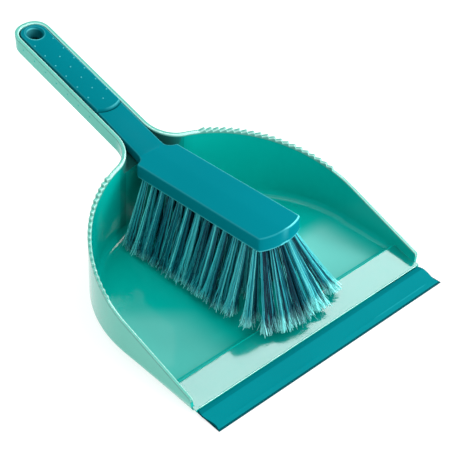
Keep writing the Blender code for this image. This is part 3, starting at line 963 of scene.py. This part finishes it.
def hole_shine(x, y):
    """Painted highlight round the hanging hole: on its bead, and a glint on the tip side of its
    bevel.
    """
    from_hole = np.hypot(x, y - HANG_Y)
    distance = np.maximum(from_hole, 0.001)
    near_side = np.clip(-(0.68 * x + 0.73 * (y - HANG_Y)) / distance, 0.0, 1.0)
    tip_side = np.clip((y - HANG_Y) / distance, 0.0, 1.0)
    ring = hump(from_hole - HANG_RING, 0.0003, 0.0004) * (0.15 + 0.55 * near_side**2)
    glint = 0.9 * hump(from_hole - HANG_RADIUS, 0.0004, 0.0004) * tip_side**3
    return np.maximum(ring, glint)


def brush_dim(x, y):
    """Painted shade in the groove at the grip's step and inside the bevel, and on the handle."""
    groove = 0.92 * hump(y - grip_step_y(x), -0.0011, 0.0008)
    dim = groove * (1 - 0.5 * smooth_step(0.0, 0.011, x))
    from_hole = np.hypot(x, y - HANG_Y)
    dim = np.maximum(dim, 0.48 * (1 - smooth_step(HANG_RADIUS, HANG_RING, from_hole)))
    return np.maximum(dim, 0.16 * smooth_step(CREASE_Y - 0.001, CREASE_Y + 0.001, y))


def mark_brush(body, outline):
    """Painted highlight along the rounded top edges, the grip's step, the flange and the hanging
    hole, and the painted shade of brush_dim.
    """
    count = len(body.data.vertices)
    places = np.empty(count * 3)
    body.data.vertices.foreach_get("co", places)
    x, y, z = places.reshape(count, 3).T
    inside = distance_to_outline(np.abs(x), y, outline)
    radius = top_edge_radius(y)
    turned = np.clip(1 - inside / radius, 0.0, 1.0)
    top_z = brush_top_z(x, y)
    by_side = 0.10 + 0.35 * smooth_step(-0.004, 0.012, x)
    nose = (1 - smooth_step(0.062, 0.066, y)) * smooth_step(-0.006, 0.010, x)
    on_handle = smooth_step(BLOCK_BACK_Y, BLOCK_BACK_Y + 0.008, y)
    strength = by_side + 0.50 * nose - 0.15 * on_handle * by_side
    share = np.where(z > top_z - radius - 0.0001, np.sin(pi * turned) * strength, 0.0)
    share = np.maximum(share, np.where(z > top_z - 0.0025, hole_shine(x, y), 0.0))
    lit = 0.40 * hump(y - grip_step_y(x), 0.0002, 0.0003) * smooth_step(-0.008, 0.006, x)
    share = np.maximum(share, np.where(z > top_z - 0.002, lit, 0.0))
    body.data.attributes.new("dim", "FLOAT", "POINT").data.foreach_set("value", brush_dim(x, y))
    rise = z - brush_bottom_z(y)
    on_flange = (rise > 0.0005) & (rise < 0.0018) & (inside < 0.001) & (y < BLOCK_BACK_Y - 0.002)
    share = np.where(on_flange, 0.55, share)
    if "edge" not in body.data.attributes:
        body.data.attributes.new("edge", "FLOAT", "POINT")
    body.data.attributes["edge"].data.foreach_set("value", share)


def pip_spot(x, along):
    y = HANG_Y + along / 1000 * HANDLE_COS
    z = float(brush_top_z(np.array([x]), np.array([y]))[0])
    return (x, y, z), (0.0, -HANDLE_SLOPE, 1.0)


# ---------------------------------------------------------------- bristles


def tuft_roots():
    """Where each tuft leaves the block, as (name, x, y)."""
    roots = []
    for row, x in (("left", -SIDE_ROW_X), ("right", SIDE_ROW_X)):
        for i in range(TUFT_SIDE_ROW):
            roots.append((f"tuft_{row}_{i + 1:02d}", x, TUFT_BACK_Y - TUFT_PITCH * i))
    for row, x in (("inner_left", -INNER_ROW_X), ("inner_right", INNER_ROW_X)):
        for i in range(TUFT_INNER_ROW):
            y = TUFT_BACK_Y - TUFT_PITCH * (i + 0.5)
            roots.append((f"tuft_{row}_{i + 1:02d}", x, y))
    for i in range(TUFT_NOSE_ROW):
        x = 0.007 * (i - 2)
        roots.append((f"tuft_nose_{i + 1:02d}", x, 0.0605 + 0.002 * (x / 0.014) ** 2))
    return roots


def tuft_tip(x, y):
    """Where a tuft's tip hangs: splayed to its side, and forward near the nose."""
    forward = exp(-max(0.0, y - 0.0605) / NOSE_REACH)
    across = x / SIDE_ROW_X
    spread = SIDE_SPLAY * across
    if forward > 0.15:
        spread *= 1.0 + 0.38 * across * forward
    return x + spread, y - NOSE_SPLAY * forward, forward


def strand_plan(chance, forward, bundle_shade):
    """One strand of a tuft: where it starts, where it ends and how light it is."""
    turn = chance.uniform(0.0, 2 * pi)
    out = sqrt(chance.random())
    start = Vector((cos(turn), sin(turn), 0.0)) * TUFT_ROOT_RADIUS * out
    reach_x = TIP_FLARE + NOSE_EXTRA_FLARE * forward
    flare_x = reach_x * out * cos(turn) + chance.gauss(0.0, 0.0005)
    flare_y = TIP_FLARE * out * sin(turn) + chance.gauss(0.0, 0.0005)
    shade = min(1.0, max(0.0, chance.random() + bundle_shade))
    return start, Vector((flare_x, flare_y, 0.0)), shade, 0.010 * out + abs(chance.gauss(0.0, 0.012))


def filament_path(chance, root, tip, strand):
    """Centre line of one crimped filament, which keeps to its strand and frays at its end."""
    start_offset, flare, _, shorter = strand
    jitter = Vector((chance.gauss(0.0, 0.00022), chance.gauss(0.0, 0.00022), 0.0))
    start = root + start_offset + jitter
    end = tip + flare + jitter * 2.2
    end.z = root.z - (TUFT_DROP + 0.0010) * (1.0 - shorter - abs(chance.gauss(0.0, 0.012)))
    bend = 1.08 + chance.uniform(-0.06, 0.06)
    crimp = chance.uniform(0.00006, 0.00018)
    crimp_turn = chance.uniform(0.0, 2 * pi)
    crimp_waves = chance.uniform(3.0, 5.0)
    fray_x = chance.gauss(0.0, FRAY)
    fray_y = chance.gauss(0.0, FRAY)
    path = []
    for k in range(FILAMENT_STATIONS):
        share = k / (FILAMENT_STATIONS - 1)
        curve = share**bend
        wave = crimp * sin(2 * pi * crimp_waves * share + crimp_turn) * min(1.0, share * 3)
        late = max(0.0, (share - 0.72) / 0.28) ** 2
        path.append(
            (
                start.x + (end.x - start.x) * curve + wave + fray_x * late,
                start.y + (end.y - start.y) * curve - wave + fray_y * late,
                start.z + (end.z - start.z) * share,
            )
        )
    return path, crimp_turn


def make_tuft(name, x, y, seed):
    """A bundle of strands of crimped filaments that splay and fray towards their tips."""
    chance = random.Random(seed)
    tip_x, tip_y, forward = tuft_tip(x, y)
    root = Vector((x, y, block_top_z(y) - BLOCK_THICKNESS + 0.0010))
    tip = Vector((tip_x, tip_y + chance.uniform(-0.0010, 0.0010), 0.0))
    bundle_shade = chance.uniform(-0.10, 0.10) + 0.05 * forward
    strand_count = STRANDS + int(NOSE_EXTRA_STRANDS * forward)
    strands = [strand_plan(chance, forward, bundle_shade) for _ in range(strand_count)]
    last_station = FILAMENT_STATIONS - 1
    verts = []
    faces = []
    shades = []
    alongs = []
    for i in range(FILAMENTS + int(NOSE_EXTRA_FILAMENTS * forward)):
        strand = strands[i % strand_count]
        path, twist = filament_path(chance, root, tip, strand)
        shade = min(1.0, max(0.0, strand[2] + chance.gauss(0.0, 0.07)))
        first = len(verts)
        for k, (centre_x, centre_y, centre_z) in enumerate(path):
            share = k / last_station
            width = FILAMENT_RADIUS * (1.0 if share < 0.9 else 0.75)
            for corner in range(3):
                angle = 2 * pi * corner / 3 + twist
                verts.append((centre_x + width * cos(angle), centre_y + width * sin(angle), centre_z))
                shades.append(shade)
                alongs.append(share * (0.87 + 0.13 * forward))
        for k in range(last_station):
            for corner in range(3):
                a = first + 3 * k + corner
                b = first + 3 * k + (corner + 1) % 3
                faces.append((a, b, b + 3, a + 3))
        faces.append((first, first + 2, first + 1))
        last = first + 3 * last_station
        faces.append((last, last + 1, last + 2))
    mesh = bpy.data.meshes.new(name + "_filaments")
    mesh.from_pydata(verts, [], faces)
    mesh.attributes.new("shade", "FLOAT", "POINT").data.foreach_set("value", shades)
    mesh.attributes.new("along", "FLOAT", "POINT").data.foreach_set("value", alongs)
    return add_object(name + "_filaments", mesh)


# ---------------------------------------------------------------- materials


class Nodes:
    """A short way to add and link shader nodes.

    A signal is a (node, socket name) pair, which the methods take and return.
    """

    def __init__(self, name):
        self.material = bpy.data.materials.new(name)
        self.material.use_nodes = True
        self.tree = self.material.node_tree
        self.shader = self.tree.nodes["Principled BSDF"]

    def add(self, kind, **settings):
        node = self.tree.nodes.new(kind)
        for key, value in settings.items():
            setattr(node, key, value)
        return node

    def set(self, node, **values):
        for key, value in values.items():
            node.inputs[key.replace("_", " ")].default_value = value
        return node

    def link(self, signal, target, target_socket):
        source, socket = signal
        self.tree.links.new(source.outputs[socket], target.inputs[target_socket])

    def attribute(self, name):
        return self.add("ShaderNodeAttribute", attribute_name=name), "Fac"

    def noise(self, place, scale, detail, roughness):
        texture = self.set(
            self.add("ShaderNodeTexNoise"), Scale=scale, Detail=detail, Roughness=roughness
        )
        self.link(place, texture, "Vector")
        return texture, "Fac"

    def map_range(self, signal, start, end, low, high, shape="LINEAR"):
        """Turn start to end into low to high."""
        node = self.add("ShaderNodeMapRange", interpolation_type=shape)
        self.set(node, From_Min=start, From_Max=end, To_Min=low, To_Max=high)
        self.link(signal, node, "Value")
        return node, "Result"

    def fade(self, signal, start, end):
        """A smooth step from 0 at start to 1 at end."""
        return self.map_range(signal, start, end, 0.0, 1.0, "SMOOTHSTEP")

    def combine(self, operation, first, second, clamp=False):
        """One maths node on two signals; second may also be a number."""
        maths = self.add("ShaderNodeMath", operation=operation, use_clamp=clamp)
        self.link(first, maths, 0)
        if isinstance(second, tuple):
            self.link(second, maths, 1)
        else:
            maths.inputs[1].default_value = second
        return maths, "Value"

    def blend(self, factor, first, colour):
        """Fade from first, which is a signal or a colour, to a plain colour."""
        mix = self.add("ShaderNodeMix", data_type="RGBA")
        mix.inputs["B"].default_value = (*colour, 1.0)
        self.link(factor, mix, "Factor")
        if len(first) == 2:
            self.link(first, mix, "A")
        else:
            mix.inputs["A"].default_value = (*first, 1.0)
        return mix, "Result"


def floor_glare(nodes, place):
    """Where glare is painted on the floor: along its left side in front, and beside the nose."""
    axes = nodes.add("ShaderNodeSeparateXYZ")
    nodes.link(place, axes, "Vector")
    lean = nodes.fade((axes, "Y"), -0.030, -0.085)
    shift = nodes.combine("MULTIPLY", lean, 0.040)
    from_wall = nodes.combine("SUBTRACT", shift, (axes, "X"))
    left = nodes.combine("MULTIPLY", nodes.fade(from_wall, 0.080, 0.112), 0.62)
    ahead = nodes.fade((axes, "Y"), -0.060, -0.078)
    off_cove = nodes.fade((axes, "X"), 0.108, 0.086)
    off_brush = nodes.fade((axes, "X"), 0.030, 0.060)
    right = nodes.combine("MULTIPLY", ahead, off_cove)
    right = nodes.combine("MULTIPLY", right, off_brush)
    both = nodes.combine("MAXIMUM", left, right)
    return nodes.combine("MULTIPLY", both, nodes.attribute("swept"))


def plastic(name, colour, outside, edge, roughness, bump, grain, specular, glare=None):
    """Moulded plastic: slow colour drift, uneven gloss, fine scratches and a grain.

    Faces marked "outside" take the outside colour, painted light: paler where it stands for sheen,
    darker where it stands for shade. Points marked "edge" take a paler one, a painted highlight.
    What is marked "dim" is that share darker, as painted shade, and rough where it is darkest. glare
    is the colour that the swept floor is painted towards, in place of a glare that the light here
    doesn't give.
    """
    nodes = Nodes(name)
    place = (nodes.add("ShaderNodeTexCoord"), "Object")
    skin_colour = nodes.blend(nodes.attribute("outside"), colour, outside)
    if glare:
        skin_colour = nodes.blend(floor_glare(nodes, place), skin_colour, glare)
    skin_colour = nodes.blend(nodes.attribute("edge"), skin_colour, edge)
    drift = nodes.map_range(nodes.noise(place, 9.0, 2.0, 0.4), 0.3, 0.7, 0.94, 1.05)
    dim = nodes.attribute("dim")
    brightness = nodes.combine("SUBTRACT", drift, nodes.combine("MULTIPLY", drift, dim))
    tinted = nodes.add("ShaderNodeVectorMath", operation="SCALE")
    nodes.link(skin_colour, tinted, 0)
    nodes.link(brightness, tinted, "Scale")
    nodes.link((tinted, "Vector"), nodes.shader, "Base Color")

    stretch = nodes.add("ShaderNodeMapping")
    nodes.set(stretch, Scale=(900.0, 60.0, 300.0), Rotation=(0.0, 0.0, 0.5))
    nodes.link(place, stretch, "Vector")
    scratch = nodes.noise((stretch, "Vector"), 1.0, 2.0, 0.6)
    highlight_and_wear = nodes.map_range(scratch, 0.55, 0.80, roughness, roughness + 0.10)
    matt_where_dim = nodes.combine("MULTIPLY", nodes.fade(dim, 0.52, 0.62), 0.9)
    nodes.link(nodes.combine("ADD", highlight_and_wear, matt_where_dim), nodes.shader, "Roughness")

    soft = nodes.set(nodes.add("ShaderNodeBevel", samples=4), Radius=0.0005)
    relief = nodes.set(nodes.add("ShaderNodeBump"), Strength=bump, Distance=0.0002)
    nodes.link(nodes.noise(place, grain, 2.0, 0.55), relief, "Height")
    nodes.link((soft, "Normal"), relief, "Normal")
    nodes.link((relief, "Normal"), nodes.shader, "Normal")
    nodes.set(nodes.shader, IOR=1.49, Specular_IOR_Level=specular)
    return nodes.material


def bristle_material():
    """Mixed filaments, from navy to light teal, paler where their tips are frayed."""
    nodes = Nodes("crimped_filament")
    shade = nodes.attribute("shade")
    ramp = nodes.add("ShaderNodeValToRGB")
    stops = (
        (0.00, (0.000, 0.020, 0.042)),
        (0.28, (0.000, 0.080, 0.120)),
        (0.50, (0.008, 0.260, 0.330)),
        (0.76, (0.040, 0.540, 0.600)),
        (1.00, (0.180, 0.900, 0.920)),
    )
    elements = ramp.color_ramp.elements
    while len(elements) < len(stops):
        elements.new(0.5)
    for element, (position, colour) in zip(elements, stops):
        element.position = position
        element.color = (*colour, 1.0)
    nodes.link(shade, ramp, "Fac")
    pale = nodes.map_range(nodes.attribute("along"), 0.80, 0.97, 0.0, 2.2)
    uneven = nodes.combine("MULTIPLY", pale, shade, clamp=True)
    tips = nodes.blend(uneven, (ramp, "Color"), (0.32, 0.98, 0.96))
    nodes.link(tips, nodes.shader, "Base Color")
    nodes.set(nodes.shader, Roughness=0.38, Specular_IOR_Level=0.2, IOR=1.49)
    return nodes.material


def set_material(piece, material):
    piece.data.materials.clear()
    piece.data.materials.append(material)


# ---------------------------------------------------------------- stage


def add_floor():
    """A pale floor that glows a little, so that it comes out an even white."""
    size = 4.0
    bm = bmesh.new()
    corners = ((-size, -size), (size, -size), (size, size), (-size, size))
    bm.faces.new([bm.verts.new((x, y, -0.0004)) for x, y in corners])
    floor = finish_bmesh("floor", bm)
    nodes = Nodes("floor_white")
    nodes.set(nodes.shader, Base_Color=(0.40, 0.40, 0.40, 1.0), Roughness=0.9)
    nodes.set(nodes.shader, Specular_IOR_Level=0.1)
    nodes.set(nodes.shader, Emission_Color=(1.0, 1.0, 1.0, 1.0), Emission_Strength=0.75)
    set_material(floor, nodes.material)


def add_area_light(name, place, target, size, power, gloss_only=False):
    """A soft rectangular light. A gloss-only one shows in reflections but lights nothing."""
    data = bpy.data.lights.new(name, "AREA")
    data.shape = "RECTANGLE"
    data.size, data.size_y = size
    data.energy = power
    lamp = add_object(name, data)
    lamp.location = place
    aim = Vector(target) - Vector(place)
    lamp.rotation_euler = aim.to_track_quat("-Z", "Y").to_euler()
    lamp.visible_diffuse = not gloss_only


def add_light():
    world = bpy.data.worlds.new("studio")
    world.use_nodes = True
    background = world.node_tree.nodes["Background"]
    background.inputs["Color"].default_value = (1.0, 1.0, 1.0, 1.0)
    background.inputs["Strength"].default_value = 0.70
    bpy.context.scene.world = world
    add_area_light("window", (0.82, 0.17, 1.25), (0.82, 0.17, 0.0), (0.74, 0.32), 11.0, True)
    add_area_light("soft_top", (0.1, 0.1, 1.6), (0.0, 0.0, 0.0), (1.0, 1.0), 4.5)
    add_area_light("fill_front", (0.5, -1.5, 0.7), (0.0, 0.0, 0.03), (1.2, 0.8), 17.0)
    add_area_light("fill_right", (1.5, -0.4, 1.3), (0.0, 0.0, 0.03), (0.9, 0.7), 23.0)


def add_camera():
    data = bpy.data.cameras.new("camera")
    data.sensor_width = 36.0
    data.lens = CAMERA_LENS
    data.clip_end = 20.0
    camera = add_object("camera", data)
    camera.location = (CAMERA_X, CAMERA_Y + LIP_EDGE_Y, CAMERA_Z)
    camera.rotation_euler = (CAMERA_TILT, 0.0, CAMERA_TURN)
    bpy.context.scene.camera = camera


def main():
    add_camera()
    add_light()
    add_floor()
    bpy.context.scene.view_settings.view_transform = "Standard"

    mint = plastic(
        name="mint_polypropylene",
        colour=(0.0, 0.46, 0.395),
        # The outside colour is a painted sheen, the edge colour a painted highlight and glare a
        # painted glare.
        outside=(0.10, 0.52, 0.42),
        edge=(0.50, 0.93, 0.84),
        roughness=0.09,
        bump=0.03,
        grain=900.0,
        specular=0.32,
        glare=(0.15, 0.565, 0.51),
    )
    rubber = plastic(
        name="teal_rubber",
        colour=(0.0, 0.205, 0.235),
        # The outside colour is a painted shade and the edge colour a painted highlight.
        outside=(0.0, 0.070, 0.085),
        edge=(0.02, 0.40, 0.44),
        roughness=0.38,
        bump=0.08,
        grain=1400.0,
        specular=0.006,
    )
    teal = plastic(
        name="teal_polypropylene",
        colour=(0.0, 0.195, 0.240),
        outside=(0.0, 0.195, 0.240),
        # The edge colour is a painted highlight.
        edge=(0.16, 0.80, 0.84),
        roughness=0.28,
        bump=0.04,
        grain=1200.0,
        specular=0.006,
    )
    filament = bristle_material()

    settle(make_pan(), "dustpan", ["dustpan_body"], 38, mint)
    settle(make_lip(), "dustpan", ["rubber_lip"], 40, rubber)
    settle(make_brush_body(), "brush", ["brush_body"], 50, teal)
    for seed, (name, x, y) in enumerate(tuft_roots()):
        settle(make_tuft(name, x, y, seed), "brush", [name], 60, filament)


main()
